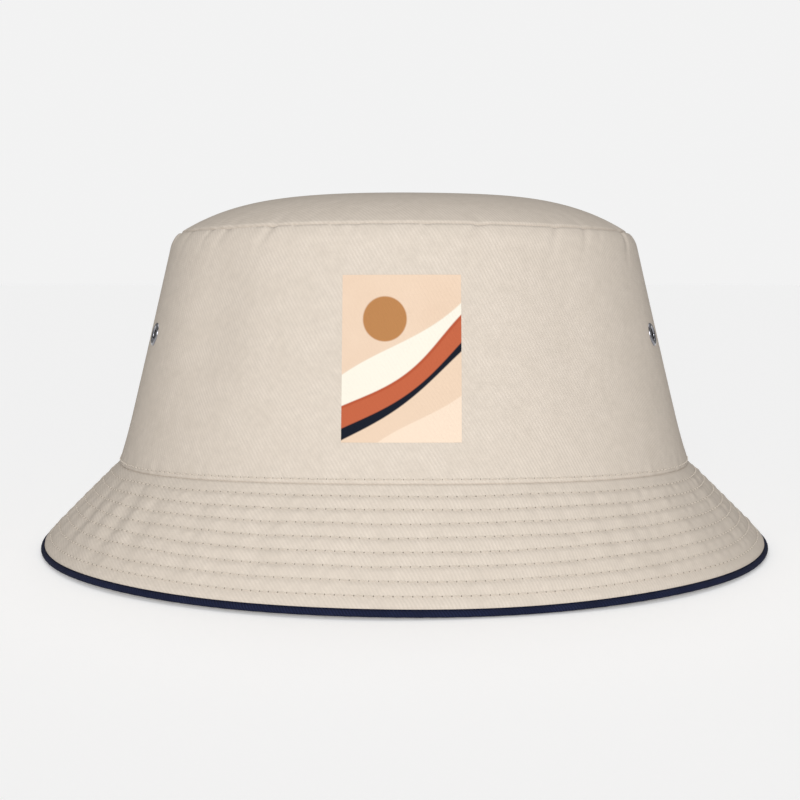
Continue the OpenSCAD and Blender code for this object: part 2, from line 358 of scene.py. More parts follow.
# %% Helpers that every piece uses
def deselect():
    if bpy.context.object and bpy.context.object.mode != "OBJECT":
        bpy.ops.object.mode_set(mode="OBJECT")
    bpy.ops.object.select_all(action="DESELECT")


def pick(piece):
    deselect()
    piece.select_set(True)
    bpy.context.view_layer.objects.active = piece


def coordinates(piece):
    flat = np.empty(len(piece.data.vertices) * 3, np.float32)
    piece.data.vertices.foreach_get("co", flat)
    return flat.reshape(-1, 3).astype(float)


def move_points(piece, points):
    piece.data.vertices.foreach_set("co", np.asarray(points, np.float32).ravel())
    piece.data.update()


def lay_cloth(name, across, rows, place, pattern, cut=None):
    """Lays a flat grid on the hat. rows are the values that place() and pattern() take along the cut."""
    deselect()
    steps = len(rows) - 1
    bpy.ops.mesh.primitive_grid_add(x_subdivisions=across, y_subdivisions=steps, size=1)
    piece = bpy.context.object
    piece.name = piece.data.name = name
    if cut:
        cut(piece)
    flat = coordinates(piece)
    u = flat[:, 0] + 0.5
    v = np.interp((flat[:, 1] + 0.5) * steps, np.arange(steps + 1), rows)
    uv = np.stack(pattern(u, v), axis=-1)
    corners = np.empty(len(piece.data.loops), np.int32)
    piece.data.loops.foreach_get("vertex_index", corners)
    piece.data.uv_layers.active.data.foreach_set("uv", uv[corners].astype(np.float32).ravel())
    move_points(piece, place(u, v))
    return piece


def close_round(piece, gap=0.02 * MM):
    pick(piece)
    bpy.ops.object.mode_set(mode="EDIT")
    bpy.ops.mesh.select_all(action="SELECT")
    bpy.ops.mesh.remove_doubles(threshold=gap)
    bpy.ops.object.mode_set(mode="OBJECT")


def thicken(piece, thickness, offset=-1.0):
    pick(piece)
    wall = piece.modifiers.new("thickness", "SOLIDIFY")
    wall.thickness = thickness * MM
    wall.offset = offset
    bpy.ops.object.modifier_apply(modifier=wall.name)


def finish_piece(piece, material, body="hat", stands_for=()):
    pick(piece)
    bpy.ops.object.shade_smooth_by_angle(angle=math.radians(50))
    piece.data.materials.clear()
    piece.data.materials.append(material)
    if stands_for:
        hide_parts(*stands_for)
    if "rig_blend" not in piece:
        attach(piece, body)
    faces = len(piece.data.polygons)
    size = [round(v / MM, 1) for v in piece.dimensions]
    print(f"{piece.name}: {faces} faces, {size} mm")
    return piece


# %% [markdown]
# ## Flat patterns
#
# A leaning wall unrolls into part of a ring. Knowing that ring's radius gives each point's place in
# the flat cut, and so the true direction of the grain: straight up at the middle of a panel, and
# turned a little towards its seams. The brim unrolls into a much wider ring.


# %% Flat patterns of the panels
def ring_pattern(angle, slant, share_of_turn):
    spread = angle * share_of_turn
    return slant * np.sin(spread) * MM, slant * np.cos(spread) * MM


def side_pattern(angle, up):
    u, v = ring_pattern(angle, SEAM_R / math.sin(LEAN) - up, math.sin(LEAN))
    return u, -v


def brim_pattern(angle, along):
    u, v = ring_pattern(angle, SEAM_R / math.cos(SLOPE) + along, math.cos(SLOPE))
    return u, -v


# %% [markdown]
# ## Twill
#
# Twill has fine ribs on a slant, because each weft yarn passes over its neighbours one step further
# on. The group below draws the ribs as a wave across the cloth, breaks each rib into the short
# floats of single yarns, and makes both a little uneven. It gives only a height, a mask of the
# ribs for their painted shade, and a soft mottling. The materials keep their own shaders, so one
# group serves every twill.


# %% Small helpers for shader nodes
def new_node(tree, kind, **settings):
    made = tree.nodes.new(kind)
    for name, value in settings.items():
        setattr(made, name, value)
    return made


def feed(tree, socket, value):
    if isinstance(value, bpy.types.NodeSocket):
        tree.links.new(value, socket)
    else:
        socket.default_value = value


def maths(tree, operation, first, second=0.0, clamp=False):
    made = new_node(tree, "ShaderNodeMath", operation=operation, use_clamp=clamp)
    feed(tree, made.inputs[0], first)
    feed(tree, made.inputs[1], second)
    return made.outputs[0]


def rescale(tree, value, factor, offset):
    made = new_node(tree, "ShaderNodeMath", operation="MULTIPLY_ADD")
    feed(tree, made.inputs[0], value)
    feed(tree, made.inputs[1], factor)
    feed(tree, made.inputs[2], offset)
    return made.outputs[0]


def noise(tree, vector, scale, detail=2.0):
    made = new_node(tree, "ShaderNodeTexNoise")
    feed(tree, made.inputs["Vector"], vector)
    made.inputs["Scale"].default_value = scale
    made.inputs["Detail"].default_value = detail
    return made.outputs["Fac"]


def mix_colours(tree, share, first, second, blend="MIX"):
    made = new_node(tree, "ShaderNodeMix", data_type="RGBA", blend_type=blend)
    feed(tree, made.inputs[0], share)
    feed(tree, made.inputs[6], first)
    feed(tree, made.inputs[7], second)
    return made.outputs[2]


def new_group(name, inputs, outputs):
    group = bpy.data.node_groups.new(name, "ShaderNodeTree")
    for title, kind, default in inputs:
        socket = group.interface.new_socket(name=title, in_out="INPUT", socket_type=kind)
        if default is not None:
            socket.default_value = default
    for title, kind in outputs:
        group.interface.new_socket(name=title, in_out="OUTPUT", socket_type=kind)
    entry = group.nodes.new("NodeGroupInput")
    leave = group.nodes.new("NodeGroupOutput")
    return group, entry.outputs, leave.inputs


# %% The weave group
weave, given, result = new_group(
    "twill weave",
    [
        ("Cloth", "NodeSocketVector", None),
        ("Rib Pitch", "NodeSocketFloat", 0.001),
        ("Rib Slant", "NodeSocketFloat", math.radians(60)),
        ("Unevenness", "NodeSocketFloat", 0.35),
    ],
    [("Height", "NodeSocketFloat"), ("Rib Shade", "NodeSocketFloat"), ("Mottle", "NodeSocketFloat")],
)
parts = new_node(weave, "ShaderNodeSeparateXYZ")
weave.links.new(given["Cloth"], parts.inputs[0])
x, y = parts.outputs[0], parts.outputs[1]
sine = maths(weave, "SINE", given["Rib Slant"])
cosine = maths(weave, "COSINE", given["Rib Slant"])
across = maths(weave, "ADD", maths(weave, "MULTIPLY", x, sine), maths(weave, "MULTIPLY", y, cosine))
along = maths(weave, "SUBTRACT", maths(weave, "MULTIPLY", y, sine), maths(weave, "MULTIPLY", x, cosine))
across = maths(weave, "DIVIDE", across, given["Rib Pitch"])
sway = maths(weave, "SUBTRACT", noise(weave, given["Cloth"], 700.0), 0.5)
across = maths(weave, "ADD", across, maths(weave, "MULTIPLY", sway, given["Unevenness"]))
ribs = maths(weave, "COSINE", maths(weave, "MULTIPLY", across, 2 * math.pi))
ribs = rescale(weave, ribs, 0.5, 0.5)
floats = maths(weave, "DIVIDE", along, maths(weave, "MULTIPLY", given["Rib Pitch"], 0.9))
floats = maths(weave, "ADD", floats, maths(weave, "MULTIPLY", maths(weave, "FLOOR", across), 0.37))
floats = maths(weave, "ABSOLUTE", maths(weave, "SINE", maths(weave, "MULTIPLY", floats, math.pi)))
yarn = rescale(weave, floats, 0.4, 0.6)
fuzz = maths(weave, "MULTIPLY", noise(weave, given["Cloth"], 2600.0, 3.0), 0.5)
ribbed = maths(weave, "MULTIPLY", ribs, yarn)
weave.links.new(maths(weave, "ADD", ribbed, fuzz), result["Height"])
# Painted shade: the ribs' shade is made fainter or stronger in soft patches, as wear and washing flatten the
# ribs unevenly.
patch = rescale(weave, noise(weave, given["Cloth"], 130.0), 1.6, -0.25)
weave.links.new(maths(weave, "MULTIPLY", ribbed, patch), result["Rib Shade"])
weave.links.new(noise(weave, given["Cloth"], 420.0, 5.0), result["Mottle"])
print("weave group has", len(weave.nodes), "nodes")

# %% [markdown]
# ## Cloth, thread and metal
#
# Each cloth has painted shade in the valleys of its weave: a darker colour there and a lighter one on
# its ribs. Cotton scatters light at its fuzzy surface, so it is very rough and hardly shines. Colours
# are given as they look on a screen, and turned into the linear values that the shader needs.


# %% Materials
def linear(*screen):
    values = [value / 255 for value in screen]
    turned = [v / 12.92 if v <= 0.04045 else ((v + 0.055) / 1.055) ** 2.4 for v in values]
    return (*turned, 1.0)


def bare_material(name, roughness, sheen=0.0, metallic=0.0):
    made = bpy.data.materials.new(name)
    made.use_nodes = True
    shader = made.node_tree.nodes["Principled BSDF"]
    shader.inputs["Roughness"].default_value = roughness
    shader.inputs["Metallic"].default_value = metallic
    shader.inputs["Sheen Weight"].default_value = sheen
    shader.inputs["Sheen Roughness"].default_value = 0.5
    shader.inputs["Specular IOR Level"].default_value = 0.5 if metallic else 0.15
    return made, made.node_tree, shader


def give_height(tree, shader, height, distance, strength=1.0):
    bump = new_node(tree, "ShaderNodeBump")
    bump.inputs["Distance"].default_value = distance
    bump.inputs["Strength"].default_value = strength
    feed(tree, bump.inputs["Height"], height)
    tree.links.new(bump.outputs[0], shader.inputs["Normal"])


def twill(name, valley, rib, pitch=0.001, relief=0.00005, mottling=0.09, sheen=0.0):
    made, tree, shader = bare_material(name, 0.92, sheen)
    uv = new_node(tree, "ShaderNodeUVMap")
    cloth = new_node(tree, "ShaderNodeGroup", node_tree=weave)
    tree.links.new(uv.outputs[0], cloth.inputs["Cloth"])
    cloth.inputs["Rib Pitch"].default_value = pitch
    # The darker valley colour is painted shade in the grooves of the weave.
    colour = mix_colours(tree, cloth.outputs["Rib Shade"], valley, rib)
    shade = rescale(tree, cloth.outputs["Mottle"], 2 * mottling, 1 - mottling)
    grey = new_node(tree, "ShaderNodeCombineColor")
    for socket in grey.inputs:
        tree.links.new(shade, socket)
    colour = mix_colours(tree, 1.0, colour, grey.outputs[0], "MULTIPLY")
    # Painted shade: the cloth is made a little darker where it is seen at a low angle.
    low_angle_shade = new_node(tree, "ShaderNodeLayerWeight").outputs["Facing"]
    low_angle_shade = maths(tree, "MULTIPLY", maths(tree, "POWER", low_angle_shade, 2.0), 0.3)
    colour = mix_colours(tree, low_angle_shade, colour, (0.0, 0.0, 0.0, 1.0))
    tree.links.new(colour, shader.inputs["Base Color"])
    give_height(tree, shader, cloth.outputs["Height"], relief)
    return made


# The first colour of each twill is the painted shade in the valleys of its weave.
beige = twill("beige twill", linear(205, 194, 181), linear(218, 207, 195))
navy = twill("navy twill", linear(18, 23, 44), linear(36, 42, 72), pitch=0.0008, mottling=0.12)
navy_tape = twill("navy seam tape", linear(26, 30, 48), linear(48, 53, 78), pitch=0.0012, relief=0.00012)
print("twills:", beige.name, navy.name, navy_tape.name)


# %% Thread, interlining, ribbon and nickel
def plain_cloth(name, dark, light, scale, relief, roughness=0.9, sheen=0.1):
    made, tree, shader = bare_material(name, roughness, sheen)
    uv = new_node(tree, "ShaderNodeUVMap")
    grain = noise(tree, uv.outputs[0], scale, 4.0)
    tree.links.new(mix_colours(tree, grain, dark, light), shader.inputs["Base Color"])
    give_height(tree, shader, grain, relief)
    return made


def thread(name, dark, light):
    """Sewing thread: its strands wind round it, so stripes run on a slant along each stitch."""
    made, tree, shader = bare_material(name, 0.6, 0.2)
    uv = new_node(tree, "ShaderNodeUVMap")
    parts = new_node(tree, "ShaderNodeSeparateXYZ")
    tree.links.new(uv.outputs[0], parts.inputs[0])
    wound = maths(tree, "ADD", parts.outputs[0], maths(tree, "MULTIPLY", parts.outputs[1], 4.0))
    strand = maths(tree, "ABSOLUTE", maths(tree, "SINE", maths(tree, "MULTIPLY", wound, 2 * math.pi)))
    tree.links.new(mix_colours(tree, strand, dark, light), shader.inputs["Base Color"])
    give_height(tree, shader, strand, 0.00004)
    return made


beige_thread = thread("beige thread", linear(186, 175, 161), linear(216, 205, 191))
navy_thread = thread("navy thread", linear(30, 35, 56), linear(62, 68, 96))


def hole_shade(name, colour):
    """What shows in a needle hole: the cloth's own colour in shade, with a little lint."""
    made, tree, shader = bare_material(name, 1.0)
    where = new_node(tree, "ShaderNodeTexCoord").outputs["Object"]
    shaded = mix_colours(tree, noise(tree, where, 400.0), colour, linear(90, 84, 76))
    tree.links.new(mix_colours(tree, 0.35, colour, shaded), shader.inputs["Base Color"])
    return made


# Painted shade for the needle holes, one for each cloth.
beige_hole_shade = hole_shade("painted needle-hole shade in beige", linear(150, 140, 127))
navy_hole_shade = hole_shade("painted needle-hole shade in navy", linear(10, 12, 24))
interlining = plain_cloth("interlining", linear(205, 203, 198), linear(238, 236, 230), 1500.0, 0.0001)

ribbon, tree, shader = bare_material("label ribbon", 0.45, 0.3)
uv = new_node(tree, "ShaderNodeUVMap")
warp = new_node(tree, "ShaderNodeTexWave", wave_type="BANDS", bands_direction="X")
warp.inputs["Scale"].default_value = 1100.0
warp.inputs["Distortion"].default_value = 0.4
tree.links.new(uv.outputs[0], warp.inputs["Vector"])
colour = mix_colours(tree, warp.outputs["Fac"], linear(224, 221, 214), linear(244, 242, 236))
tree.links.new(colour, shader.inputs["Base Color"])
give_height(tree, shader, warp.outputs["Fac"], 0.00003)

nickel, tree, shader = bare_material("nickel plate", 0.16, metallic=1.0)
where = new_node(tree, "ShaderNodeTexCoord").outputs["Object"]
smears = noise(tree, where, 900.0, 3.0)
plating = mix_colours(tree, smears, linear(120, 120, 126), linear(168, 168, 173))
tree.links.new(plating, shader.inputs["Base Color"])
tree.links.new(rescale(tree, smears, 0.18, 0.1), shader.inputs["Roughness"])
give_height(tree, shader, noise(tree, where, 260.0), 0.00002)
print("other finishes:", ribbon.name, nickel.name, interlining.name)

# %% [markdown]
# ## Side panels, front and back
#
# Each panel is half of the crown's wall. Before it is laid, a few squares of its grid are cut out at
# each eyelet and the corners round them are drawn onto a circle, which is the punched hole. The metal
# flange covers its edge. A boolean could cut the hole as well, but it would leave an untidy rim.

# %% Make the side panels
SIDE_ACROSS = 300
side_rows = np.concatenate([np.linspace(0, 1.2, 4)[:-1], np.linspace(1.2, SIDE_LENGTH, 84)])
HOLE_R = 3.0


def panel_turn(u, middle):
    return middle + (u - 0.5) * math.pi


def punch_eyelets(middle):
    """A cut() for the panel centred on middle: it opens a round hole for each eyelet."""

    def cut(piece):
        # The grid is one unit wide and long, so a place on it is worked out in those units first.
        steps = len(side_rows) - 1
        row = np.interp(EYELET_UP, side_rows, np.arange(steps + 1)) / steps - 0.5
        up_step = np.interp(EYELET_UP + 1, side_rows, np.arange(steps + 1)) / steps - 0.5 - row
        round_r = side_line(np.array(EYELET_UP))[0]
        for place in EYELET_TURNS:
            column = turn_gap(place, middle) / math.pi
            if abs(column) > 0.5:
                continue
            scale = np.array([math.pi * round_r, 1 / up_step])
            centres = np.array([face.center[:2] for face in piece.data.polygons])
            off = (centres - [column, row]) * scale
            pick(piece)
            bpy.ops.object.mode_set(mode="EDIT")
            bpy.ops.mesh.select_all(action="DESELECT")
            bpy.ops.object.mode_set(mode="OBJECT")
            chosen = np.hypot(off[:, 0], off[:, 1]) < HOLE_R - 0.35
            piece.data.polygons.foreach_set("select", chosen)
            bpy.ops.object.mode_set(mode="EDIT")
            bpy.ops.mesh.delete(type="FACE")
            bpy.ops.object.mode_set(mode="OBJECT")
            flat = coordinates(piece)
            off = (flat[:, :2] - [column, row]) * scale
            far = np.hypot(off[:, 0], off[:, 1])
            near = far < HOLE_R + 0.75
            flat[near, :2] = [column, row] + off[near] / far[near, None] * HOLE_R / scale
            move_points(piece, flat)

    return cut


def side_panel(name, node, middle):
    piece = lay_cloth(
        name,
        SIDE_ACROSS,
        side_rows,
        lambda u, v: side_at(panel_turn(u, middle), v),
        lambda u, v: side_pattern(panel_turn(u, middle) - middle, v),
        punch_eyelets(middle),
    )
    thicken(piece, PLY)
    finish_piece(piece, beige, stands_for=[node])
    return piece


side_panel("side_panel_front", "crown_side_front", FRONT)
side_panel("side_panel_back", "crown_side_back", BACK)

# %% [markdown]
# ## The tip
#
# The disc is laid from its turned-down edge up to the middle, where the last ring of corners meets
# in one point and is merged. Its rings lie closest near the seam, where the thread puckers the cloth.

# %% Make the tip
TIP_ACROSS = 320
SKIRT = 6.0


def tip_place(u, v):
    """v runs from the turned-down edge, below 0, over the seam at 0, to 1 in the middle."""
    turn = u * 2 * math.pi
    top = tip_at(turn, 1 - np.clip(v, 0, 1))
    skirt = side_at(turn, SIDE_LENGTH + np.minimum(v, 0) * SKIRT - 0.5, PLY + AIR)
    return np.where((v < 0)[:, None], skirt, top)


tip_rows = np.concatenate([np.linspace(-1, -0.1, 6), 1 - np.cos(np.linspace(0, math.pi / 2, 74)) ** 0.9])
tip = lay_cloth(
    "tip",
    TIP_ACROSS,
    tip_rows,
    tip_place,
    lambda u, v: (
        TIP_R * (1 - v) * np.cos(2 * math.pi * u) * MM,
        TIP_R * (1 - v) * np.sin(2 * math.pi * u) * MM,
    ),
)
close_round(tip)
thicken(tip, PLY)
finish_piece(tip, beige, stands_for=["crown_tip"])

# %% [markdown]
# ## The brim's plies, and what lies between them
#
# The upper and the lower ply are each cut in two halves. Each runs from its edge to the brim seam and
# turns up inside the crown. A ring of stiff interlining lies between them.

# %% Make the brim
BRIM_ACROSS = 480
brim_rows = np.concatenate([np.linspace(BRIM_W, 0, 64), np.linspace(-0.6, -ALLOWANCE, 7)])


def ply_place(turn, along, side_depth, depth, puff):
    flat = brim_at(turn, np.clip(along, 0, None), depth, puff)
    turned_up = side_at(turn, np.clip(-along, 0, None), side_depth)
    return np.where((along < 0)[:, None], turned_up, flat)


def brim_ply(name, node, middle, rows, side_depth, depth, puff):
    piece = lay_cloth(
        name,
        BRIM_ACROSS,
        rows,
        lambda u, v: ply_place(panel_turn(u, middle), v, side_depth, depth, puff),
        lambda u, v: brim_pattern(panel_turn(u, middle) - middle, v),
    )
    thicken(piece, PLY)
    finish_piece(piece, beige, stands_for=[node])
    return piece


under_rows, under_depth = brim_rows[::-1], 3 * PLY + 2 * AIR
for half, middle in (("front", FRONT), ("back", BACK)):
    brim_ply(f"upper_brim_{half}", f"brim_upper_{half}", middle, brim_rows, PLY + AIR, 0.0, 1.0)
    brim_ply(f"under_brim_{half}", f"brim_lower_{half}", middle, under_rows, under_depth, BRIM_T, -1.0)


def ring_strip(name, node, rows, place, thickness, material, radius, across=360):
    """A strip that goes all the way round; it is cut as long as the circle that it fits."""
    length = 2 * math.pi * radius * MM
    piece = lay_cloth(
        name,
        across,
        rows,
        lambda u, v: place(u * 2 * math.pi, v),
        lambda u, v: (u * length, v * MM),
    )
    close_round(piece)
    thicken(piece, thickness)
    finish_piece(piece, material, stands_for=[node])
    return piece


stiff_rows = np.linspace(BRIM_W - ALLOWANCE - 0.5, 1.2, 24)
ring_strip(
    "brim_interlining",
    "brim_stiffening",
    stiff_rows,
    lambda turn, v: brim_at(turn, v, PLY + AIR, 0.0),
    0.6,
    interlining,
    radius=SEAM_R + BRIM_W / 2 * math.cos(SLOPE),
)

# %% [markdown]
# ## Piping
#
# The piping is a strip of navy twill folded lengthwise. Its section is drawn as one open line: out
# along the tail between the brim's plies, round the roll at the edge, and back. Cut on the bias, it
# wrinkles very slightly along the roll.

# %% Make the piping
TAIL_T, TAIL_LENGTH, PIPING_PLY = 0.3, 6.0, 0.27
ROLL_STEPS = 24
join = math.pi - math.asin(TAIL_T / ROLL_R)
section = [(-TAIL_LENGTH, -TAIL_T)]
for step in range(ROLL_STEPS + 1):
    angle = -join + 2 * join * step / ROLL_STEPS
    section.append((ROLL_R * math.cos(angle), ROLL_R * math.sin(angle)))
section.append((-TAIL_LENGTH, TAIL_T))
section = np.array(section)
section_steps = np.arange(len(section), dtype=float)


def piping_at(turn, step):
    off = np.interp(step, section_steps, section[:, 0])
    up = np.interp(step, section_steps, section[:, 1])
    rolled = (off > -ROLL_R) * 1.0
    swell = 1 + rolled * ripples(turn, 51, (113, 167, 229), 0.03)
    along = ROLL_ALONG + off * swell
    return brim_at(turn, along, BRIM_T / 2 - up * swell, 0.0)


around = 2 * math.pi * ROLL_R
piping = lay_cloth(
    "piping",
    720,
    section_steps,
    lambda u, v: piping_at(u * 2 * math.pi, v),
    lambda u, v: (u * 2 * math.pi * (SEAM_R + 24) * MM, v / ROLL_STEPS * around * MM),
)
close_round(piping)
thicken(piping, PIPING_PLY)
finish_piece(piping, navy, stands_for=["brim_piping"])
print(f"lowest point of the piping {coordinates(piping)[:, 2].min() / MM:.2f} mm")

# %% [markdown]
# ## Sweatband and seam tapes
#
# The sweatband is a strip of navy twill folded in half over a stiff core, with the fold at the top.
# Tapes cover the raw edges inside: one ring under the tip seam and one strip down each side seam.

# %% Make the sweatband
band_top = BAND_H + 1.0


def band_wave(turn, up):
    """How far the band buckles and is pulled in at its foot; its stiff core does the same."""
    buckle = ripples(turn, 61, (9, 14, 22), 0.35) * np.sin(math.pi * np.clip(up / band_top, 0, 1))
    return buckle - pinches(turn, 63, (71, 97), 0.25) * np.exp(-up / 4)


def band_at(turn, step):
    """step runs from the bottom edge against the crown, over the fold, to the inner bottom edge."""
    half = (BAND_T - 0.6) / 2
    middle = BAND_DEPTH + BAND_T / 2
    foot = 1.2
    straight = band_top - foot - half
    up = foot + straight * np.where(step < 1, np.clip(step, 0, 1), np.clip(3 - step, 0, 1))
    over = np.clip(step - 1, 0, 1) * math.pi
    up = up + half * np.sin(over)
    depth = middle - half * np.cos(over)
    return side_at(turn, up, depth + band_wave(turn, up))


band_rows = np.concatenate([np.linspace(0, 1, 30), np.linspace(1, 2, 8)[1:], np.linspace(2, 3, 30)[1:]])
band_r = SEAM_R - BAND_DEPTH - BAND_T / 2 - BAND_H / 2 * math.sin(LEAN)
ring_strip(
    "folded_sweatband",
    "sweatband",
    band_rows,
    band_at,
    0.6,
    navy,
    radius=band_r,
    across=400,
)
core_rows = np.linspace(band_top - 1.6, 2.0, 16)
ring_strip(
    "sweatband_interlining",
    "sweatband_stiffening",
    core_rows[::-1],
    lambda turn, v: side_at(turn, v, BAND_DEPTH + 0.75 + band_wave(turn, v)),
    0.5,
    interlining,
    radius=band_r,
    across=240,
)

# %% Make the tapes
TAPE_W, TAPE_T = 10.0, 0.4
tape_top = SIDE_LENGTH - 2.0
ring_strip(
    "tip_seam_tape",
    "top_seam_tape",
    np.linspace(tape_top - TAPE_W, tape_top, 14),
    lambda turn, v: side_at(turn, v, 2 * PLY + 0.2),
    TAPE_T,
    navy_tape,
    radius=TOP_R,
)


def side_tape(name, node, middle):
    """A strip that covers one side seam, from the brim's turned-up edge to the tip tape."""
    half_turn = TAPE_W / 2 / WALL_R
    length = WALL_LENGTH - ALLOWANCE - 4
    piece = lay_cloth(
        name,
        14,
        np.linspace(ALLOWANCE + 1, ALLOWANCE + 1 + length, 60),
        lambda u, v: side_at(middle + (u - 0.5) * 2 * half_turn, v, PLY + 0.1),
        lambda u, v: (u * TAPE_W * MM, v * MM),
    )
    thicken(piece, TAPE_T)
    finish_piece(piece, navy_tape, stands_for=[node])
    return piece


side_tape("side_tape_left", "side_seam_tape_left", math.pi)
side_tape("side_tape_right", "side_seam_tape_right", 0.0)

# %% [markdown]
# ## Stitches
#
# One stitch is modelled once: a small ball of few faces, stretched along the thread and bent so that
# both ends dive into the cloth. It is then copied along every row. Each copy sits on the cloth where
# the row runs, along the row and square to the surface there. Between two stitches a much shorter
# and darker copy stands for the needle hole: it is painted shade, the shadow in the hole, which is
# what the eye picks out in matching thread.
# Dots in a material would look flat from close by. As there are thousands of them, a stitch has only
# a few dozen faces.

# %% Model one stitch
THREAD_R, STITCH_LENGTH, DIVE = 0.2, 2.2, 0.22
deselect()
bpy.ops.mesh.primitive_uv_sphere_add(segments=6, ring_count=5, radius=THREAD_R * MM)
stitch = bpy.context.object
stitch.name = "one_stitch"
bpy.ops.object.mode_set(mode="EDIT")
bpy.ops.mesh.select_all(action="SELECT")
bpy.ops.transform.rotate(value=math.pi / 2, orient_axis="Y", center_override=(0, 0, 0))
bpy.ops.transform.resize(value=(STITCH_LENGTH / 2 / THREAD_R, 1, 1), center_override=(0, 0, 0))
bpy.ops.object.mode_set(mode="OBJECT")
bent = coordinates(stitch)
bent[:, 2] -= DIVE * MM * (bent[:, 0] / (STITCH_LENGTH / 2 * MM)) ** 2
move_points(stitch, bent)
stitch_points = coordinates(stitch)
stitch_faces = [list(face.vertices) for face in stitch.data.polygons]
stitch_uv = [tuple(item.uv) for item in stitch.data.uv_layers.active.data]
bpy.data.objects.remove(stitch)
print("one stitch:", len(stitch_faces), "faces")


# %% Sew rows of stitches
def row_frames(surface, count):
    """Place, direction and outward normal of stitches and needle holes, in alternation, along a row."""
    turn = (np.arange(2 * count) + 1) * math.pi / count
    step, small_turn = 0.2, 0.002
    here = surface(turn, 0.0)
    along = surface(turn + small_turn, 0.0) - surface(turn - small_turn, 0.0)
    beside = surface(turn, step) - surface(turn, -step)
    along /= np.linalg.norm(along, axis=1)[:, None]
    out = np.cross(along, beside)
    out /= np.linalg.norm(out, axis=1)[:, None]
    return here, along, out


# The painted shade of a needle hole: its length, width and height, as shares of a stitch's.
HOLE_SHADE_SHAPE = [0.2, 1.3, 0.7]


def sew(name, rows, material, hole, node, seed):
    """Joins a copy of the stitch for each place in the rows into one mesh of its own."""
    rng = np.random.default_rng(seed)
    points = []
    for here, along, out in rows:
        beside = np.cross(out, along)
        tilt = rng.normal(0, 0.05, len(here))[:, None]
        direction = along + tilt * beside
        # Every second place is a needle hole's painted shade: a short dark fleck where the thread dives in.
        local = np.stack([stitch_points, stitch_points * HOLE_SHADE_SHAPE] * (len(here) // 2))
        points.append(
            here[:, None]
            + local[..., :1] * direction[:, None]
            + local[..., 1:2] * beside[:, None]
            + local[..., 2:] * out[:, None]
        )
    points = np.concatenate(points)
    copies, corners = len(points), len(stitch_points)
    faces = [[v + corners * k for v in face] for k in range(copies) for face in stitch_faces]
    mesh = bpy.data.meshes.new(name)
    mesh.from_pydata(points.reshape(-1, 3).tolist(), [], faces)
    layer = mesh.uv_layers.new(name="UVMap")
    layer.data.foreach_set("uv", np.tile(np.array(stitch_uv, np.float32), (copies, 1)).ravel())
    piece = bpy.data.objects.new(name, mesh)
    bpy.context.scene.collection.objects.link(piece)
    finish_piece(piece, material, stands_for=[node])
    # The second material is the painted shade of the needle holes.
    mesh.materials.append(hole)
    is_hole_shade = np.repeat(np.arange(copies) % 2, len(stitch_faces))
    mesh.polygons.foreach_set("material_index", is_hole_shade.astype(np.int32))
    print(f"  {copies // 2} stitches")
    return piece


# How far the middle of a brim stitch stands out of the cloth.
PROUD = 0.08
for row in range(ROWS):
    count = row_count(row)
    over = row_frames(
        lambda turn, shift: brim_at(turn, row_place(turn, row) - shift, -PROUD, 1.0), count
    )
    under = row_frames(
        lambda turn, shift: brim_at(turn, row_place(turn, row) + shift, BRIM_T + PROUD, -1.0), count
    )
    node = f"brim_stitch_row_{row + 1}"
    sew(f"brim_stitches_{row + 1}", [over, under], beige_thread, beige_hole_shade, node, row)

top_row = row_frames(lambda turn, shift: side_at(turn, TOPSTITCH_UP + shift, -0.1), stitches_in(SEAM_R))
sew("crown_topstitches", [top_row], beige_thread, beige_hole_shade, "crown_topstitch", 90)
inner_r = SEAM_R - BAND_DEPTH - BAND_T

# Both rows are on the sweatband's inner face: one at its foot, and one just under its fold.
band_stitches = [
    row_frames(lambda turn, shift: band_at(turn, place + shift / band_top), stitches_in(radius))
    for place, radius in ((2.95, inner_r), (2.1, inner_r - 7))
]
sew("sweatband_stitches", band_stitches, navy_thread, navy_hole_shade, "sweatband_stitch", 91)

# %% [markdown]
# ## The printed panel
#
# A print is a thin film of ink on the cloth. A fine grid is laid on the front panel, a tenth of a
# millimetre proud of it, and given the twill's own relief, so the cloth shows through. The design is
# drawn by nodes alone: a sun over dunes, in flat shapes whose edges are curves. Each shape is a mask,
# and the masks are laid one over another.

# %% Make the printed film
PRINT_W, PRINT_H, PRINT_RISE = 33.5, 49.5, 37.0
FILM_T = 0.1


def print_place(u, v):
    up = (PRINT_RISE + (v - 0.5) * PRINT_H) / math.cos(LEAN)
    radius = side_line(up)[0]
    turn = FRONT + np.arcsin((u - 0.5) * PRINT_W / radius)
    return side_at(turn, up, -FILM_T)


film = lay_cloth(
    "print_panel_film",
    60,
    np.linspace(0, 1, 81),
    print_place,
    lambda u, v: (u * PRINT_W * MM, v * PRINT_H * MM),
)
thicken(film, FILM_T - 0.02)

ink, tree, shader = bare_material("printed ink", 0.8, 0.05)
uv = new_node(tree, "ShaderNodeUVMap")
spot = new_node(tree, "ShaderNodeMapping")
spot.inputs["Scale"].default_value = [1 / (PRINT_W * MM)] * 3
tree.links.new(uv.outputs[0], spot.inputs["Vector"])
parts = new_node(tree, "ShaderNodeSeparateXYZ")
tree.links.new(spot.outputs[0], parts.inputs[0])
x, y = parts.outputs[0], parts.outputs[1]

CLIMB = math.radians(38)
x_along, y_along = (maths(tree, "MULTIPLY", side, math.cos(CLIMB)) for side in (x, y))
x_aside, y_aside = (maths(tree, "MULTIPLY", side, math.sin(CLIMB)) for side in (x, y))
ridge_x = maths(tree, "ADD", x_along, y_aside)
ridge_y = maths(tree, "SUBTRACT", y_along, x_aside)


def below(waves, start, height, swing, soft=0.012):
    """Mask of what lies under a wavy ridge that climbs across the panel."""
    phase = maths(tree, "ADD", maths(tree, "MULTIPLY", ridge_x, waves), start)
    curve = maths(tree, "ADD", maths(tree, "MULTIPLY", maths(tree, "SINE", phase), swing), height)
    return maths(tree, "DIVIDE", maths(tree, "SUBTRACT", curve, ridge_y), soft, clamp=True)


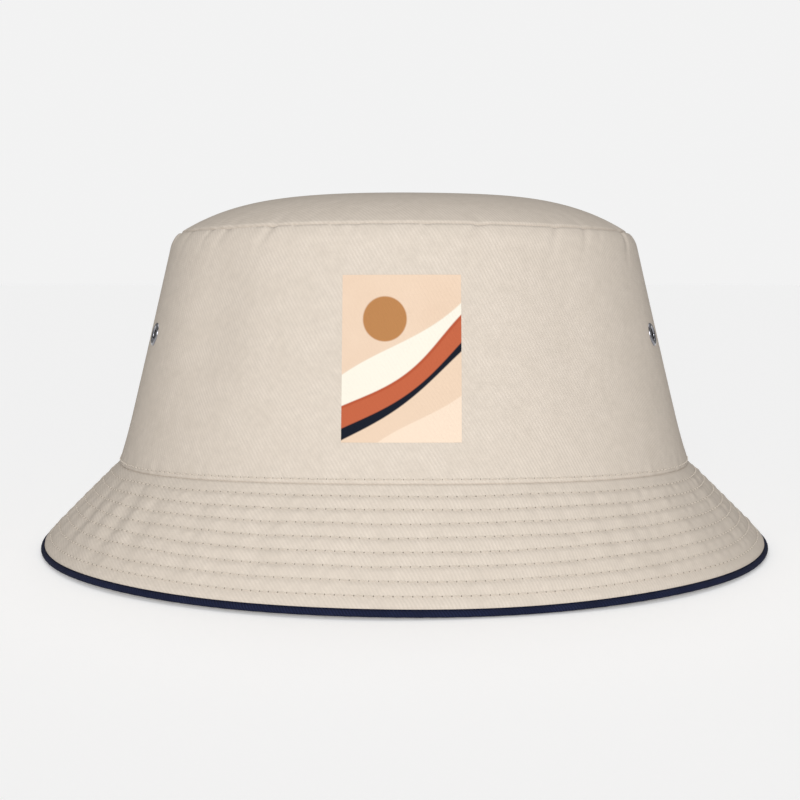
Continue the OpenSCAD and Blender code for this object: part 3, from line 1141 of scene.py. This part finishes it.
def disc(centre_x, centre_y, radius, soft=0.012):
    away_x = maths(tree, "POWER", maths(tree, "SUBTRACT", x, centre_x), 2.0)
    away_y = maths(tree, "POWER", maths(tree, "SUBTRACT", y, centre_y), 2.0)
    away = maths(tree, "SQRT", maths(tree, "ADD", away_x, away_y))
    return maths(tree, "DIVIDE", maths(tree, "SUBTRACT", radius, away), soft, clamp=True)


tint = noise(tree, spot.outputs[0], 3.0)
design = mix_colours(tree, tint, linear(218, 192, 168), linear(226, 202, 179))
layers = [
    (disc(0.36, 1.12, 0.19), linear(176, 124, 76)),
    (below(3.0, 0.4, 0.44, 0.07), linear(232, 227, 213)),
    (below(3.6, 1.9, 0.25, 0.06), linear(174, 82, 52)),
    (below(3.6, 1.9, 0.225, 0.06), linear(184, 94, 62)),
    (below(3.1, 2.6, 0.09, 0.06), linear(14, 20, 34)),
    (below(3.1, 3.1, 0.02, 0.05), linear(222, 197, 173)),
    (below(4.0, 0.6, -0.22, 0.04), linear(232, 211, 190)),
]
for mask, shape_colour in layers:
    design = mix_colours(tree, mask, design, shape_colour)
tree.links.new(design, shader.inputs["Base Color"])
cloth = new_node(tree, "ShaderNodeGroup", node_tree=weave)
tree.links.new(uv.outputs[0], cloth.inputs["Cloth"])
give_height(tree, shader, cloth.outputs["Height"], 0.00003)
finish_piece(film, ink, stands_for=["print_panel"])

# %% [markdown]
# ## Labels
#
# Two blank satin labels are caught in the sweatband's top edge and hang over it. Each is one ribbon:
# its tail lies over the edge of the band and stays with the hat, and the rest swings. A blend over the
# hinge line turns the ribbon smoothly between the two. So short a ribbon hardly drapes, so a formula
# gives it its slight curl.

# %% Make the labels
LABEL_T = 0.35


def label(name, joint, middle, width, length):
    hinge = np.array(next(j["pos_m"] for j in frame["joints"] if j["name"] == joint)) / MM
    hinge_r, hinge_z = math.hypot(hinge[0], hinge[1]), hinge[2]
    tail = 3.2

    def place(u, v):
        """v is the distance along the ribbon from its tail's end, in millimetres."""
        arc = np.clip(v / tail, 0, 1) * math.pi / 2
        hang = np.clip(v - tail, 0, None)
        curl = 1.1 * (hang / length) ** 2 + 0.35 * np.sin(hang / length * 5)
        cup = 0.5 * ((u - 0.5) * 2) ** 2 * np.clip(hang / length, 0, 1)
        r = hinge_r + 2.6 * np.cos(arc) - curl + cup
        z = hinge_z + 0.5 * np.sin(2 * arc) - hang
        side = (u - 0.5) * width
        x = r * math.cos(middle) - side * math.sin(middle)
        y = r * math.sin(middle) + side * math.cos(middle)
        return np.stack([x, y, z], axis=-1) * MM

    total = tail + length
    piece = lay_cloth(
        name + "_ribbon",
        28,
        np.linspace(0, total, 60),
        place,
        lambda u, v: (u * width * MM, v * MM),
    )
    thicken(piece, LABEL_T, 0.0)
    out = np.array([math.cos(middle), math.sin(middle), 0])
    pivot = np.array([hinge_r * out[0], hinge_r * out[1], hinge_z])
    start = pivot + 1.3 * out + [0, 0, 0.4]
    end = pivot - [0, 0, 1.3]
    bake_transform(piece, "hat", name, start=start * MM, end=end * MM)
    finish_piece(piece, ribbon, stands_for=[name])
    return piece


for item in ("size_label", "care_label"):
    low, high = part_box(item)
    print(item, "in the frame:", [round((b - a) / MM, 1) for a, b in zip(low, high)])
label("size_label", "size_label_flip", BACK, 20.0, 14.0)
label("care_label", "care_label_flip", math.pi, 22.0, 30.0)

# %% [markdown]
# ## Eyelets
#
# The eyelets and their washers are turned metal, and the CAD shapes are already right. They stay, and
# get a nickel finish: a metal with a faint unevenness, so that its reflections look plated and not
# like a mirror.

# %% Finish the metal
for name, node in frame["nodes"].items():
    if name.startswith(("eyelet_", "washer_")):
        node.data.materials.clear()
        node.data.materials.append(nickel)
        for face in node.data.polygons:
            face.use_smooth = True
        print(f"{name}: {nickel.name}")

# %% [markdown]
# ## Floor, light and camera
#
# The hat stands on a plain pale floor, which gives off a little light of its own so that it is as pale
# as the backdrop. A broad soft light comes from low in front, a weaker one from high up behind, and
# an even glow from all round fills the shadows. The camera looks slightly down at the hat's front.

# %% Floor
deselect()
bpy.ops.mesh.primitive_plane_add(size=60)
floor = bpy.context.object
floor.name = "floor"
paper, tree, shader = bare_material("floor paper", 1.0)
shader.inputs["Base Color"].default_value = (0.9, 0.9, 0.9, 1)
shader.inputs["Emission Color"].default_value = (1, 1, 1, 1)
shader.inputs["Emission Strength"].default_value = 0.18
shader.inputs["Specular IOR Level"].default_value = 0.0
floor.data.materials.append(paper)
print("floor:", paper.name)

# %% Light
GLOW, BACKDROP = 0.26, 1.114
world = bpy.data.worlds.new("studio")
bpy.context.scene.world = world
world.use_nodes = True
tree = world.node_tree
glow = tree.nodes["Background"]
glow.inputs[0].default_value = (1, 1, 1, 1)
glow.inputs[1].default_value = GLOW
seen = new_node(tree, "ShaderNodeBackground")
seen.inputs[1].default_value = BACKDROP
path = new_node(tree, "ShaderNodeLightPath")
choose = new_node(tree, "ShaderNodeMixShader")
tree.links.new(path.outputs["Is Camera Ray"], choose.inputs[0])
tree.links.new(glow.outputs[0], choose.inputs[1])
tree.links.new(seen.outputs[0], choose.inputs[2])
tree.links.new(choose.outputs[0], tree.nodes["World Output"].inputs[0])


def soft_light(name, elevation, turn, energy, softness):
    """A broad light that shines down from an elevation; turn 0 comes from in front of the hat."""
    deselect()
    bpy.ops.object.light_add(type="SUN", rotation=(math.pi / 2 - math.radians(elevation), 0, turn))
    light = bpy.context.object
    light.name = name
    light.data.energy = energy
    light.data.angle = math.radians(softness)
    print(f"{name}: {elevation} degrees up, strength {energy}")


soft_light("front_light", 20, 0, 2.35, 35)
soft_light("rear_top_light", 72, math.pi, 0.85, 50)

# %% Camera
deselect()
EYE = (0.0035, -0.46, 0.0886)
LOOK_DOWN, LOOK_ASIDE = math.radians(5.1), math.radians(0.6)
bpy.ops.object.camera_add(location=EYE, rotation=(math.pi / 2 - LOOK_DOWN, 0, LOOK_ASIDE))
camera = bpy.context.object
camera.data.lens = 60.0
camera.data.sensor_width = 36.0
camera.data.clip_start = 0.01
bpy.context.scene.camera = camera
bpy.context.scene.view_settings.view_transform = "Standard"
print(f"camera: {camera.data.lens:.0f} mm lens, at {EYE}")
